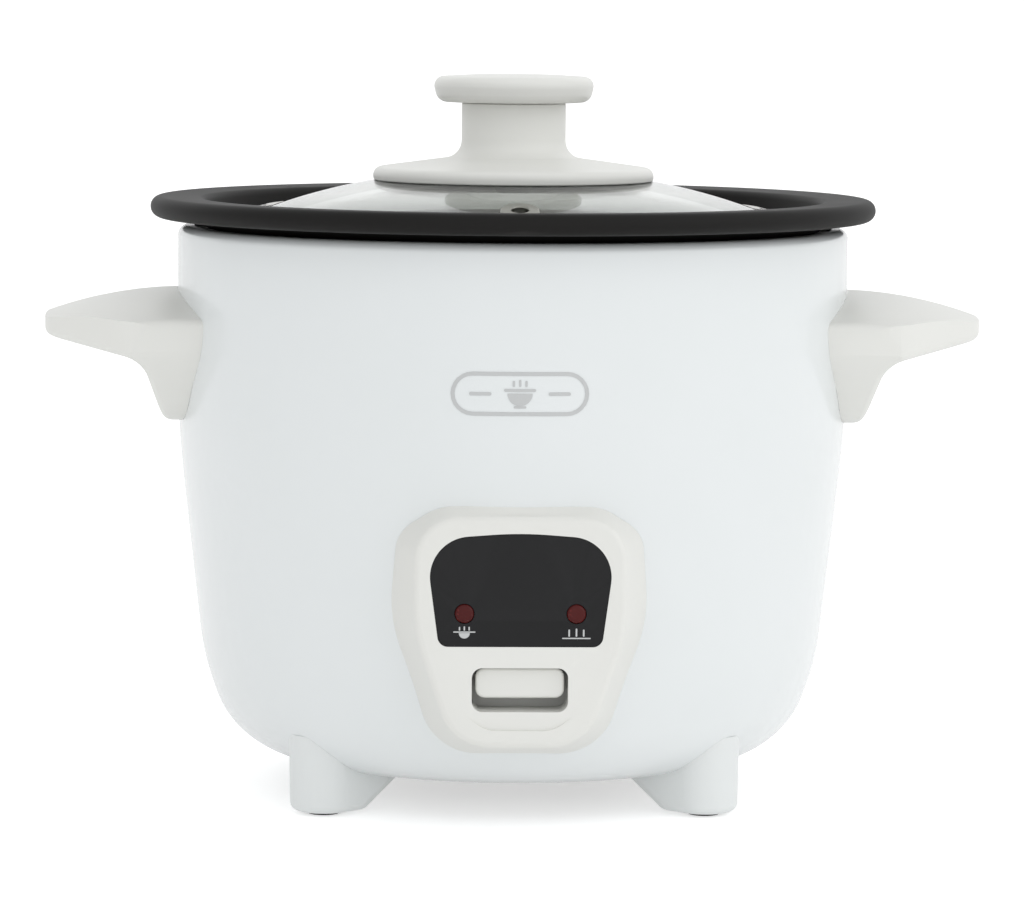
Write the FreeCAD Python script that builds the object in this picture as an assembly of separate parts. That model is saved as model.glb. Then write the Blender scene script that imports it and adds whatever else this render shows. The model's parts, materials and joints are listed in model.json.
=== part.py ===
"""Small rice cooker with a glass lid, as an assembly of separate pieces.

Millimetres. +Z is up and the control panel faces -Y. Heights count from a level just above the
table, and every piece is raised from TABLE_Z to the table when it's written to parts/NAME.step.
"""

import FreeCAD, Part
import math
import os

from FreeCAD import Placement, Rotation, Vector

X_AXIS, Y_AXIS, Z_AXIS = Vector(1, 0, 0), Vector(0, 1, 0), Vector(0, 0, 1)
SIDES = {"left": -1, "right": 1}

TABLE_Z = -1.5

# Outer shell: painted sheet metal, drawn in one piece. The path is its outside, from its bottom
# flange up the wall to the lip round the pot, as (radius, height, rounding).
SHELL_R = 74.0
SHELL_TOP = 123.2
SHELL_BOTTOM = 7.2
SHELL_T = 0.9
SHELL_LIP_R = 70.4
SHELL_FLANGE_R = 46.0
SHELL_PATH = [(SHELL_FLANGE_R, SHELL_BOTTOM), (51.3, SHELL_BOTTOM, 2.5), (62.1, 10.5, 20.0), (68.35, 28.2, 58.0),
              (SHELL_R, 79.5, 190.0), (SHELL_R, SHELL_TOP, 2.2), (SHELL_LIP_R, SHELL_TOP)]

# Cooking pot: rests on the heating plate and hangs over the shell by its rolled rim.
POT_T = 1.4
PLATE_TOP = 60.0
RIM_R = 80.0
RIM_TOP = 130.0
RIM_BEAD = 5.0
LID_SEAT_Z = 124.0

# Lid: a glass dome in a steel rim, with a two-piece knob.
DOME_RADIUS = 158.0
DOME_TOP = 136.7
GLASS_T = 3.0
GLASS_R = 57.0
KNOB_TOP = 156.6
CAP_R = 17.6
SKIRT_R = 31.2
VENT_RADIUS = 50.5

# Control panel: a raised bezel on the front of the shell.
PANEL_Y = -75.5
WINDOW_T = 1.0
WINDOW_SIDE = [(16.9, 39.9, 2.2), (19.9, 62.2, 8.5)]
WINDOW_TOP = (0.0, 63.7, 80.0)
LENS_X = 11.6
LENS_Z = 46.8
LENS_R = 2.05
SLOT = (20.0, 9.2, 30.9)
PADDLE = (18.4, 6.2, 32.1)
PADDLE_FACE = -73.8
BEZEL_SCREWS = [(-21.6, 47.0), (21.6, 47.0)]

# Switch lever under the heating plate.
PIVOT_Y = -40.0
PIVOT_Z = 31.5
PIVOT_R = 1.5
LEVER_T = 1.5
SWITCH_Y = -56.0
CHEEK_X = 10.0
CHEEK_T = 1.2

# Heating plate and thermostat.
PLATE_R = 54.0
PLATE_UNDER = 54.5
LINER_FLOOR = 53.0
LINER_T = 0.6
LINER_UNDER = LINER_FLOOR - LINER_T
ELEMENT_R = 36.0
SENSOR_FLANGE_Z = 51.0
CUP_FLOOR = 38.0
CARRIER_Z = 45.0
FERRITE_Z = 56.0

# Feet: four legs on the diagonals, each with a rubber pad. Each is screwed on from inside, nearer
# to the axis by FOOT_SCREW_REACH.
FOOT_PLACE = (41.0, 38.5)
FOOT_UNDER = TABLE_Z + 0.7
FOOT_TOP = 16.0
FOOT_SCREW_REACH = 0.96
FOOT_SCREW_Z = 11.8
PAD_R = 3.6
PAD_STUD_R = 2.2

# Bottom cover, screwed to the shell's flange.
COVER_R = 50.6
COVER_T = 1.6
COVER_SCREW_R = 49.0
COVER_SCREW_ANGLES = (25, 155, 205, 335)

# Handles, on the left and right.
HANDLE_TIP = 102.8
HANDLE_SCREW_Z = 101.0
HANDLE_SCREW_Y = 16.0

# Power inlet on the back.
INLET_Z = 34.0
INLET_FACE = 73.0
INLET_CAVITY = (24.2, 16.3, 16.0)

CLEAR = 0.05


def flat(point):
    """The vector of an outline point, given as (across, up) or (across, up, rounding)."""
    return Vector(point[0], 0, point[1])


def rounding(point):
    return point[2] if len(point) > 2 else 0.0


def corner_arc(before, corner, after, radius):
    """Start, middle and end of the arc that rounds one corner."""
    back = (before - corner).normalize()
    ahead = (after - corner).normalize()
    half = back.getAngle(ahead) / 2
    inward = (back + ahead).normalize()
    reach = radius / math.tan(half)
    return corner + back * reach, corner + inward * (radius / math.sin(half) - radius), corner + ahead * reach


def rounded_edges(points, closed):
    """Edges of an outline in the XZ plane, with each corner rounded as its point says."""
    spots = [flat(p) for p in points]
    count = len(spots)
    stations = []
    for i, spot in enumerate(spots):
        inner = closed or 0 < i < count - 1
        if inner and rounding(points[i]) > 0:
            stations.append(corner_arc(spots[i - 1], spot, spots[(i + 1) % count], rounding(points[i])))
        else:
            stations.append((spot,))
    edges = []
    for i, station in enumerate(stations):
        if len(station) == 3:
            edges.append(Part.Arc(*station).toShape())
        if closed or i < count - 1:
            start, end = station[-1], stations[(i + 1) % count][0]
            if start.distanceToPoint(end) > 1e-6:
                edges.append(Part.LineSegment(start, end).toShape())
    return edges


def face_of(points):
    return Part.Face(Part.Wire(rounded_edges(points, True)))


def lathe(points):
    """A solid turned about Z from a closed outline of (radius, height, rounding)."""
    return face_of(points).revolve(Vector(), Z_AXIS, 360)


def offset_left(points, thickness):
    """The same path moved to its left by the thickness, with matching roundings."""
    spots = [flat(p) for p in points]
    ways = [(b - a).normalize() for a, b in zip(spots, spots[1:])]
    lefts = [Vector(-w.z, 0, w.x) for w in ways]
    moved = []
    for i, spot in enumerate(spots):
        if i == 0 or i == len(spots) - 1:
            left = lefts[0] if i == 0 else lefts[-1]
            moved.append((spot.x + left.x * thickness, spot.z + left.z * thickness))
            continue
        bisector = (lefts[i - 1] + lefts[i]).normalize()
        reach = thickness / bisector.dot(lefts[i])
        turn_left = ways[i - 1].x * ways[i].z - ways[i - 1].z * ways[i].x > 0
        radius = rounding(points[i])
        radius = radius - thickness if turn_left else radius + (thickness if radius else 0)
        moved.append((spot.x + bisector.x * reach, spot.z + bisector.z * reach, max(radius, 0)))
    return moved


def sheet(points, thickness):
    """A turned sheet: a path of (radius, height, rounding) with its material on the left."""
    near = rounded_edges(points, False)
    far_points = offset_left(points, thickness)
    far = rounded_edges(list(reversed(far_points)), False)
    ends = [
        Part.LineSegment(flat(points[-1]), flat(far_points[-1])).toShape(),
        Part.LineSegment(flat(far_points[0]), flat(points[0])).toShape(),
    ]
    wire = Part.Wire(near + [ends[0]] + far + [ends[1]])
    return Part.Face(wire).revolve(Vector(), Z_AXIS, 360)


def prism_y(points, y0, y1):
    """An outline in the XZ plane, carried along Y from y0 to y1."""
    return face_of(points).translated(Vector(0, y0, 0)).extrude(Vector(0, y1 - y0, 0))


def prism_z(points, z0, z1):
    """A plan outline of (x, y, rounding), carried up from z0 to z1."""
    plan = face_of(points)
    plan.rotate(Vector(), X_AXIS, -90)
    return plan.translated(Vector(0, 0, z0)).extrude(Vector(0, 0, z1 - z0))


def prism_x(points, x0, x1):
    """An outline given as (y, z, rounding), carried along X from x0 to x1."""
    solid = face_of(points).extrude(Vector(0, -(x1 - x0), 0))
    solid.rotate(Vector(), Z_AXIS, 90)
    return solid.translated(Vector(x0, 0, 0))


def rod(radius, start, end):
    way = Vector(*end) - Vector(*start)
    return Part.makeCylinder(radius, way.Length, Vector(*start), way)


def tube(outer, inner, start, end):
    return rod(outer, start, end).cut(rod(inner, start, end))


def block(low, high):
    size = [b - a for a, b in zip(low, high)]
    return Part.makeBox(*size, Vector(*low))


def rounded_box(width, height, radius, centre_x, centre_z, y0, y1):
    """A bar along Y with a rounded rectangular section."""
    x, z = width / 2, height / 2
    corners = [(-x, -z), (x, -z), (x, z), (-x, z)]
    return prism_y([(centre_x + a, centre_z + b, radius) for a, b in corners], y0, y1)


def joined(solids):
    whole = solids[0]
    for other in solids[1:]:
        whole = whole.fuse(other)
    return whole.removeSplitter()


def bend(solid, edge):
    """The angle, in degrees, between the two faces that meet at the middle of an edge."""
    faces = solid.ancestorsOfType(edge, Part.Face)
    if len(faces) < 2:
        return 0.0
    middle = edge.valueAt((edge.FirstParameter + edge.LastParameter) / 2)
    normals = [f.normalAt(*f.Surface.parameter(middle)) for f in faces]
    return math.degrees(normals[0].getAngle(normals[1]))


def soften(solid, radius, chosen):
    """Rounds the sharp edges for which chosen(edge) is true."""
    smooth = solid.makeFillet(radius, [e for e in solid.Edges if chosen(e) and bend(solid, e) > 25])
    if not smooth.isValid() or smooth.Volume <= 0:
        raise ValueError(f"edges can't be rounded by {radius}")
    return smooth


def coil_spring(coil_radius, wire_radius, low, high, turns):
    """A compression spring, from the outside of its lowest turn to that of its highest."""
    rise = high - low - 2 * wire_radius
    helix = Part.makeHelix(rise / turns, rise, coil_radius)
    start = Part.Circle(Vector(coil_radius, 0, 0), Y_AXIS, wire_radius).toShape()
    spring = Part.Wire(helix.Edges).makePipeShell([Part.Wire(start)], True, True)
    return spring.translated(Vector(0, 0, low + wire_radius))


def pan_screw(head_r, head_h, shank_r, length):
    """A screw along Z: its head's underside is at 0, and its shank goes up."""
    head = lathe([(0, -head_h), (head_r, -head_h, head_h * 0.7), (head_r, 0), (0, 0)])
    slot = joined([block((-head_r, -0.4, -head_h), (head_r, 0.4, -head_h * 0.55)),
                   block((-0.4, -head_r, -head_h), (0.4, head_r, -head_h * 0.55))])
    recess = slot.common(rod(head_r * 0.55, (0, 0, -head_h), (0, 0, 0)))
    return head.cut(recess).fuse(rod(shank_r, (0, 0, 0), (0, 0, length))).removeSplitter()


def pointing(solid, way, place):
    """Turns a piece made along +Z to point the given way, and moves it to its place."""
    turned = solid.copy()
    turned.Placement = Placement(Vector(*place), Rotation(Z_AXIS, Vector(*way)))
    return turned


def shell_envelope(grow=0.0):
    """The shell as if it were solid, to shape what sits on its outside."""
    path = offset_left(SHELL_PATH, -grow) if grow else SHELL_PATH
    return lathe([(0, path[0][1])] + list(path) + [(0, path[-1][1])])


def foot_spots():
    """Name and centre of each leg."""
    x, y = FOOT_PLACE
    return [(f"{end}_{side}", sign * x, depth) for end, depth in (("front", -y), ("rear", y))
            for side, sign in SIDES.items()]


def handle_screw_spots():
    return [(sign, y) for sign in SIDES.values() for y in (-HANDLE_SCREW_Y, HANDLE_SCREW_Y)]


def around(radius, angles):
    """The points at these angles, in degrees, on a circle round the axis."""
    return [(radius * math.cos(math.radians(a)), radius * math.sin(math.radians(a))) for a in angles]


def make_outer_shell():
    shell = sheet(SHELL_PATH, SHELL_T)
    cuts = [rounded_box(35.0, 34.4, 3.0, 0, 42.7, -80, -60),
            rounded_box(30.4, 22.4, 2.0, 0, INLET_Z, 60, 80)]
    cuts += [rod(1.7, (sign * 60, y, HANDLE_SCREW_Z), (sign * 80, y, HANDLE_SCREW_Z))
             for sign, y in handle_screw_spots()]
    cuts += [rod(3.7, (x * FOOT_SCREW_REACH, y * FOOT_SCREW_REACH, 5),
                 (x * FOOT_SCREW_REACH, y * FOOT_SCREW_REACH, 25)) for _, x, y in foot_spots()]
    cuts += [rod(1.7, (x, -80, z), (x, -60, z)) for x, z in BEZEL_SCREWS]
    cuts += [rod(1.7, (*spot, 5), (*spot, 12)) for spot in cover_screw_spots()]
    for cut in cuts:
        shell = shell.cut(cut)
    return shell


def cover_screw_spots():
    return around(COVER_SCREW_R, COVER_SCREW_ANGLES)


def make_inner_liner():
    path = [(72.4, 122.2), (69.9, 122.2, 0.8), (69.9, 115.5, 4), (66.6, 110.5, 4),
            (66.6, LINER_FLOOR, 5), (45.0, LINER_FLOOR)]
    liner = sheet(path, LINER_T)
    for x, y in plate_leg_spots():
        liner = liner.cut(rod(1.7, (x, y, 50), (x, y, 55)))
    for sign in SIDES.values():
        liner = liner.cut(rod(1.5, (sign * 15.6, -53.4, 50), (sign * 15.6, -53.4, 55)))
    return liner


def plate_leg_spots():
    return around(49.5, (90, 210, 330))


def make_heating():
    """The cast heating plate, the heating tube in its underside, and the plate's screws."""
    plate = lathe([(16.5, PLATE_UNDER), (29.0, PLATE_UNDER, 0.8), (29.5, 50.5, 1), (42.5, 50.5, 1),
                   (43.0, PLATE_UNDER, 0.8), (PLATE_R, PLATE_UNDER, 1), (PLATE_R, PLATE_TOP, 1.5),
                   (16.5, PLATE_TOP, 0.6)])
    for x, y in plate_leg_spots():
        plate = plate.fuse(rod(4.0, (x, y, LINER_FLOOR), (x, y, PLATE_UNDER + 0.5)))
        plate = plate.cut(rod(1.3, (x, y, LINER_FLOOR - 1), (x, y, 57.5)))
    ring = Part.makeTorus(ELEMENT_R, 3.2, Vector(0, 0, 51.4), Z_AXIS, -180, 180, 320)
    ring.rotate(Vector(), Z_AXIS, 110)
    plate = plate.cut(ring)
    ends = around(ELEMENT_R, (110, 70))
    pins = [tube(2.6, 1.2, (*end, 43.0), (*end, 47.0)) for end in ends]
    studs = [rod(1.2, (*end, 38.0), (*end, 48.1)) for end in ends]
    for x in (-24.5, 24.5):
        plate = plate.cut(rod(1.2, (x, 0, 53), (x, 0, 57.8)))
    screws = [pointing(pan_screw(2.8, 1.6, 1.3, 5.0), (0, 0, 1), (x, y, LINER_UNDER))
              for x, y in plate_leg_spots()]
    return {"heating_plate": plate, "heating_element": ring, "element_insulators": Part.makeCompound(pins),
            "element_studs": Part.makeCompound(studs), "plate_screws": Part.makeCompound(screws)}


def make_thermostat():
    """The sprung sensor in the middle of the plate, and the magnet that the lever lifts to it."""
    flange = SENSOR_FLANGE_Z
    cap = sheet([(18.5, flange), (15.5, flange, 1.3), (15.5, PLATE_TOP, 1.6), (0, PLATE_TOP)], 1.0)
    ferrite = lathe([(0, FERRITE_Z), (11.0, FERRITE_Z, 0.4), (11.0, PLATE_TOP - 1), (0, PLATE_TOP - 1)])
    cup = sheet([(27.0, PLATE_UNDER), (21.0, PLATE_UNDER, 1), (21.0, CUP_FLOOR, 2), (6.0, CUP_FLOOR)], 0.8)
    tray = CARRIER_Z + 0.7
    magnet = lathe([(0, tray), (9.5, tray, 0.4), (9.5, tray + 5, 0.5), (0, tray + 5)])
    carrier = lathe([(0, CARRIER_Z), (14.0, CARRIER_Z), (14.0, tray), (10.2, tray), (10.2, tray + 3.6),
                     (9.6, tray + 3.6), (9.6, tray), (0, tray)])
    carrier = joined([carrier, rod(2.2, (0, 0, 27.0), (0, 0, CARRIER_Z + 0.1)),
                      rod(4.5, (0, 0, 32.9), (0, 0, 34.1)), rod(3.4, (0, 0, 26.0), (0, 0, 27.4))])
    screws = []
    for x in (-24.5, 24.5):
        hole = rod(1.2, (x, 0, 50), (x, 0, 57.8))
        cup = cup.cut(hole)
        screws.append(pointing(pan_screw(2.2, 1.3, 1.2, 4.0), Z_AXIS, (x, 0, PLATE_UNDER - 0.8)))
    return {"sensor_cap": cap, "sensor_ferrite": ferrite, "thermostat_cup": cup, "thermostat_magnet": magnet,
            "magnet_carrier": carrier, "cup_screws": Part.makeCompound(screws),
            "sensor_spring": coil_spring(17.0, 0.6, CUP_FLOOR + 0.05, flange - 1.05, 4.5),
            "release_spring": coil_spring(12.6, 0.45, tray + 0.05, PLATE_TOP - 1.05, 5.5)}


def across(radius, start_x, end_x, y, z):
    """A bar along X."""
    return rod(radius, (start_x, y, z), (end_x, y, z))


def make_lever():
    """The switch lever with its finger paddle and dust shield, and the pin and clip that it turns on."""
    half = LEVER_T / 2
    arm = block((-6, -72.0, PIVOT_Z - half), (6, 6.0, PIVOT_Z + half))
    arm = arm.fuse(across(3.2, -8, 8, PIVOT_Y, PIVOT_Z))
    arm = arm.cut(across(PIVOT_R + CLEAR, -9, 9, PIVOT_Y, PIVOT_Z))
    fork = block((-2.7, -3.6, 25), (2.7, 7.0, 40)).fuse(rod(2.7, (0, -3.6, 25), (0, -3.6, 40)))
    arm = arm.cut(fork).removeSplitter()
    width, height, middle = PADDLE
    paddle = rounded_box(width, height, 1.9, 0, middle, PADDLE_FACE, -68.4)
    paddle = soften(paddle, 0.6, lambda e: e.BoundBox.YMax < PADDLE_FACE + 0.1)
    paddle = paddle.cut(arm)
    shield = block((-10.5, -64.9, 25.6), (10.5, -63.7, 37.4)).cut(arm)
    end = CHEEK_X + CHEEK_T + 1.4
    pin = across(PIVOT_R, -end, end, PIVOT_Y, PIVOT_Z).fuse(across(2.4, end - 1.2, end, PIVOT_Y, PIVOT_Z))
    groove = across(2, -end + 0.3, -end + 0.9, PIVOT_Y, PIVOT_Z)
    groove = groove.cut(across(1.1, -end, -end + 2, PIVOT_Y, PIVOT_Z))
    clip = across(2.9, -end + 0.3, -end + 0.9, PIVOT_Y, PIVOT_Z)
    clip = clip.cut(across(1.1, -end, -end + 2, PIVOT_Y, PIVOT_Z))
    clip = clip.cut(block((-end, PIVOT_Y - 1.0, PIVOT_Z - 4), (-end + 2, PIVOT_Y + 1.0, PIVOT_Z)))
    return {"switch_lever": arm, "lever_paddle": paddle, "lever_shield": shield,
            "lever_pin": pin.cut(groove).removeSplitter(), "pin_clip": clip}


def make_switch():
    """The bracket under the liner that carries the lever's pin, and the switch that the lever presses."""
    under = LINER_UNDER
    outer = CHEEK_X + CHEEK_T
    bracket = [block((-20, -59.8, under - CHEEK_T), (20, -47.0, under))]
    for sign in SIDES.values():
        near, far = sorted((sign * CHEEK_X, sign * outer))
        bracket.append(prism_x([(-59.8, 18.0, 2), (-51.0, 18.0, 3), (-36.0, 27.0, 4), (-36.0, 36.0, 4),
                                (-47.0, 45.0, 3), (-47.0, under), (-59.8, under)], near, far))
    bracket = joined(bracket)
    bracket = bracket.cut(across(PIVOT_R, -20, 20, PIVOT_Y, PIVOT_Z))
    case = block((-CHEEK_X, SWITCH_Y - 3.2, 18.6), (CHEEK_X, SWITCH_Y + 3.2, 28.0))
    case = soften(case, 0.6, lambda e: abs(e.BoundBox.ZLength - 9.4) < 0.1)
    case = case.cut(rod(1.4, (0, SWITCH_Y, 24.0), (0, SWITCH_Y, 29)))
    plunger = lathe([(0, 25.4), (1.3, 25.4), (1.3, 30.5, 0.6), (0, 30.5)]).translated(Vector(0, SWITCH_Y, 0))
    screw = pointing(pan_screw(2.2, 1.3, 1.1, 2 * outer + 1.6), X_AXIS, (-outer, SWITCH_Y, 21.5))
    nut = across(2.3, outer, outer + 1.6, SWITCH_Y, 21.5)
    through = across(1.1, -20, 20, SWITCH_Y, 21.5)
    tabs = [block((x - 1.6, SWITCH_Y - 0.25, 12.4), (x + 1.6, SWITCH_Y + 0.25, 18.6)) for x in (-7.3, 0, 7.3)]
    rivets = []
    for sign in SIDES.values():
        place = Vector(sign * 15.6, -53.4, 0)
        rivet = joined([rod(1.5, (0, 0, under - CHEEK_T), (0, 0, LINER_FLOOR)),
                        lathe([(0, LINER_FLOOR), (2.8, LINER_FLOOR), (2.2, 53.8, 0.4), (0, 53.8)]),
                        rod(2.4, (0, 0, under - CHEEK_T - 0.8), (0, 0, under - CHEEK_T))])
        rivets.append(rivet.translated(place))
        bracket = bracket.cut(rod(1.5, (place.x, place.y, 50), (place.x, place.y, 53)))
    return {"switch_bracket": bracket.cut(through), "switch_case": case.cut(through),
            "switch_plunger": plunger, "switch_screw": screw, "switch_nut": nut.cut(through),
            "switch_tabs": Part.makeCompound(tabs), "bracket_rivets": Part.makeCompound(rivets)}


def make_wiring_parts():
    """The thermal fuse under the liner, its clip, and the terminal block on the bottom cover."""
    x, y, z = -36.0, 37.0, LINER_UNDER - 2.3
    fuse = lathe([(0, -7.5), (0.5, -7.5), (0.5, -5.5), (1.9, -5.5, 0.6), (1.9, 5.5, 0.6), (0.5, 5.5), (0.5, 7.5),
                  (0, 7.5)])
    fuse = pointing(fuse, (1, 1, 0), (x, y, z))
    strap = rounded_box(5.0, 5.0, 2.4, 0, 0, -2.0, 2.0).cut(rod(1.95, (0, -3, 0), (0, 3, 0)))
    ear = block((-9.0, -2.0, 2.0), (0, 2.0, 2.3)).cut(rod(1.95, (0, -3, 0), (0, 3, 0)))
    clip = strap.common(block((-3, -3, -3), (3, 3, 2.3))).fuse(ear).removeSplitter()
    clip.Placement = Placement(Vector(x, y, z), Rotation(Z_AXIS, -45))
    floor = SHELL_BOTTOM + SHELL_T + COVER_T
    body = block((-14, 27, floor), (14, 39, floor + 9))
    body = soften(body, 0.8, lambda e: e.BoundBox.ZMin > floor + 8.9)
    screws = []
    for spot in (-9.0, 0.0, 9.0):
        body = body.cut(rod(2.6, (spot, 33, floor + 5), (spot, 33, floor + 10)))
        body = body.cut(across(1.5, spot - 1.5, spot + 1.5, 33, floor + 3))
        body = body.cut(rod(1.5, (spot, 25, floor + 3), (spot, 41, floor + 3)))
        screws.append(pointing(pan_screw(2.4, 1.6, 1.2, 2.5), (0, 0, -1), (spot, 33, floor + 6.9)))
        body = body.cut(rod(1.2, (spot, 33, floor + 3), (spot, 33, floor + 6)))
    return {"thermal_fuse": fuse, "fuse_clip": clip, "terminal_block": body,
            "terminal_screws": Part.makeCompound(screws)}


def lofted(back, front, y0, y1):
    """A solid from one outline at y0 to another, with as many corners, at y1."""
    wires = []
    for points, y in ((back, y0), (front, y1)):
        wire = Part.Wire(rounded_edges(points, True))
        wires.append(wire.translated(Vector(0, y, 0)))
    return Part.makeLoft(wires, True, True)


def mirrored(points):
    """A closed outline from its right half, given from bottom to top."""
    return list(points) + [(-p[0], *p[1:]) for p in reversed(points)]


def make_panel():
    """The bezel, its dark window, the two lamp lenses, the lamps behind them and the screws."""
    outer = mirrored([(18.6, 14.3, 14), (30.3, 45.0, 40), (30.4, 74.6, 12)])
    inner = mirrored([(13.8, 18.9, 11), (21.8, 43.0, 35), (21.6, 66.6, 9)])
    bezel = lofted(outer, inner, -58.0, PANEL_Y)
    bezel = soften(bezel, 1.8, lambda e: e.BoundBox.YMax < PANEL_Y + 0.01)
    bezel = bezel.cut(shell_envelope())
    outline = mirrored(WINDOW_SIDE)
    outline.insert(len(WINDOW_SIDE), WINDOW_TOP)
    window_back = PANEL_Y + 0.25 + WINDOW_T
    bezel = bezel.cut(prism_y(outline, -80, window_back))
    sight = rounded_box(30.0, 19.0, 5.0, 0, 51.4, -80, -60)
    bezel = bezel.cut(sight)
    width, height, middle = SLOT
    scoop = prism_y(mirrored([(7.0, 22.4, 7.0), (13.2, 27.0, 7.5), (13.0, 36.0, 1.2)]), -3.0, 0.0)
    scoop.rotate(Vector(0, 0, 23.0), X_AXIS, 9.0)
    scoop.translate(Vector(0, PANEL_Y + 0.35, 0))
    bezel = bezel.cut(scoop)
    bezel = bezel.cut(rounded_box(width, height, 2.2, 0, middle, -80, -55))
    for x, z in BEZEL_SCREWS:
        bezel = bezel.cut(rod(1.3, (x, -71.5, z), (x, -60, z)))
    board_y = window_back + 10.6
    for sign in SIDES.values():
        bezel = bezel.fuse(rod(0.9, (sign * 15.6, -71, LENS_Z), (sign * 15.6, board_y + 2.2, LENS_Z)))
    bezel = bezel.removeSplitter()
    window = prism_y(outline, PANEL_Y + 0.25, window_back)
    lenses, lamps = [], []
    for sign in SIDES.values():
        x = sign * LENS_X
        window = window.cut(rod(LENS_R + CLEAR, (x, -80, LENS_Z), (x, -70, LENS_Z)))
        lens = lathe([(0, 0), (2.7, 0), (2.7, 1.2), (LENS_R, 1.2), (LENS_R, 2.6, 0.9), (0, 2.7)])
        lenses.append(pointing(lens, (0, -1, 0), (x, window_back + 1.2, LENS_Z)))
        lamp = lathe([(0, 0), (2.6, 0, 0.4), (2.6, 8.6, 1.6), (0, 9.2)])
        lamps.append(pointing(lamp, (0, -1, 0), (x, window_back + 10.6, LENS_Z)))
    board = rounded_box(34.0, 9.0, 1.5, 0, LENS_Z, board_y, board_y + 1.4)
    for sign in SIDES.values():
        board = board.cut(rod(0.9, (sign * 15.6, -70, LENS_Z), (sign * 15.6, -60, LENS_Z)))
    screws = [pointing(pan_screw(2.6, 1.5, 1.3, 6.0), (0, -1, 0), (x, -65.0, z)) for x, z in BEZEL_SCREWS]
    return {"control_bezel": bezel, "window_panel": window, "lamp_board": board,
            "lamp_lenses": Part.makeCompound(lenses), "indicator_lamps": Part.makeCompound(lamps),
            "bezel_screws": Part.makeCompound(screws)}


def make_handles():
    """The two ear handles, each a moulded plate on a shield-shaped pad, and their screws."""
    side_view = [(60, 81.0), (76.4, 81.0, 2.6), (80.7, 95.2, 6.5), (HANDLE_TIP, 99.4), (HANDLE_TIP, 112), (60, 112)]
    end_view = face_of(mirrored([(18.0, 80.9, 12), (30.9, 97.6, 16), (30.9, 112)]))
    end_view.rotate(Vector(), Z_AXIS, 90)
    plan = [(60, -30.9), (82.8, -30.9, 14), (HANDLE_TIP, -13.0, 12), (HANDLE_TIP, 13.0, 12), (82.8, 30.9, 14),
            (60, 30.9)]
    ear = prism_y(side_view, -34, 34)
    ear = ear.common(end_view.translated(Vector(58, 0, 0)).extrude(Vector(50, 0, 0)))
    ear = ear.common(prism_z(plan, 70, 115))
    crown = Part.makeSphere(90, Vector(72.1, 0, 19.35), Y_AXIS)
    ear = soften(ear.common(crown).removeSplitter(), 1.9, lambda e: e.BoundBox.XMax > 62)
    ear = ear.cut(shell_envelope())
    parts = {}
    screws = []
    for side, sign in SIDES.items():
        handle = ear if sign > 0 else ear.mirror(Vector(), X_AXIS)
        for y in (-HANDLE_SCREW_Y, HANDLE_SCREW_Y):
            start, end = (sign * 71.0, y, HANDLE_SCREW_Z), (sign * 84.0, y, HANDLE_SCREW_Z)
            handle = handle.cut(rod(1.4, start, end))
            screw = pan_screw(2.9, 1.6, 1.4, 12.5)
            screws.append(pointing(screw, (sign, 0, 0), (sign * 70.7, y, HANDLE_SCREW_Z)))
        parts[f"handle_{side}"] = handle
    parts["handle_screws"] = Part.makeCompound(screws)
    return parts


def capsule(ax, ay, bx, by, radius, z):
    """A closed wire round two centres, in a level plane."""
    a, b = Vector(ax, ay, z), Vector(bx, by, z)
    way = (b - a).normalize()
    left = Vector(-way.y, way.x, 0) * radius
    return Part.Wire([Part.LineSegment(a - left, b - left).toShape(),
                      Part.Arc(b - left, b + way * radius, b + left).toShape(),
                      Part.LineSegment(b + left, a + left).toShape(),
                      Part.Arc(a + left, a - way * radius, a - left).toShape()])


def make_feet():
    """Four legs that narrow downwards, their rubber pads, and the screws that hold them."""
    parts, pads, screws = {}, [], []
    envelope = shell_envelope()
    for name, x, y in foot_spots():
        low = capsule(x, y, x * 0.96, y * 0.96, 7.2, FOOT_UNDER)
        high = capsule(x, y, x * 0.5, y * 0.5, 7.5, FOOT_TOP)
        leg = Part.makeLoft([low, high], True, True)
        leg = soften(leg, 1.8, lambda e: e.BoundBox.ZMax < FOOT_UNDER + 0.01)
        leg = leg.cut(envelope)
        leg = sorted(leg.Solids, key=lambda s: s.Volume)[-1]
        sx, sy = x * FOOT_SCREW_REACH, y * FOOT_SCREW_REACH
        leg = leg.fuse(rod(3.6, (sx, sy, 6.0), (sx, sy, FOOT_SCREW_Z))).removeSplitter()
        leg = leg.cut(rod(1.3, (sx, sy, 3.2), (sx, sy, FOOT_SCREW_Z + 1)))
        stud_top = FOOT_UNDER + 2.2
        leg = leg.cut(rod(PAD_STUD_R, (x, y, TABLE_Z), (x, y, stud_top)))
        parts[f"foot_{name}"] = leg
        pad = lathe([(0, TABLE_Z), (PAD_R, TABLE_Z, 0.3), (PAD_R, FOOT_UNDER), (PAD_STUD_R, FOOT_UNDER),
                     (PAD_STUD_R, stud_top), (0, stud_top)])
        pads.append(pad.translated(Vector(x, y, 0)))
        screws.append(pointing(pan_screw(4.4, 1.7, 1.3, 6.5), (0, 0, -1), (sx, sy, FOOT_SCREW_Z)))
    parts["foot_pads"] = Part.makeCompound(pads)
    parts["foot_screws"] = Part.makeCompound(screws)
    return parts


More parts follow.
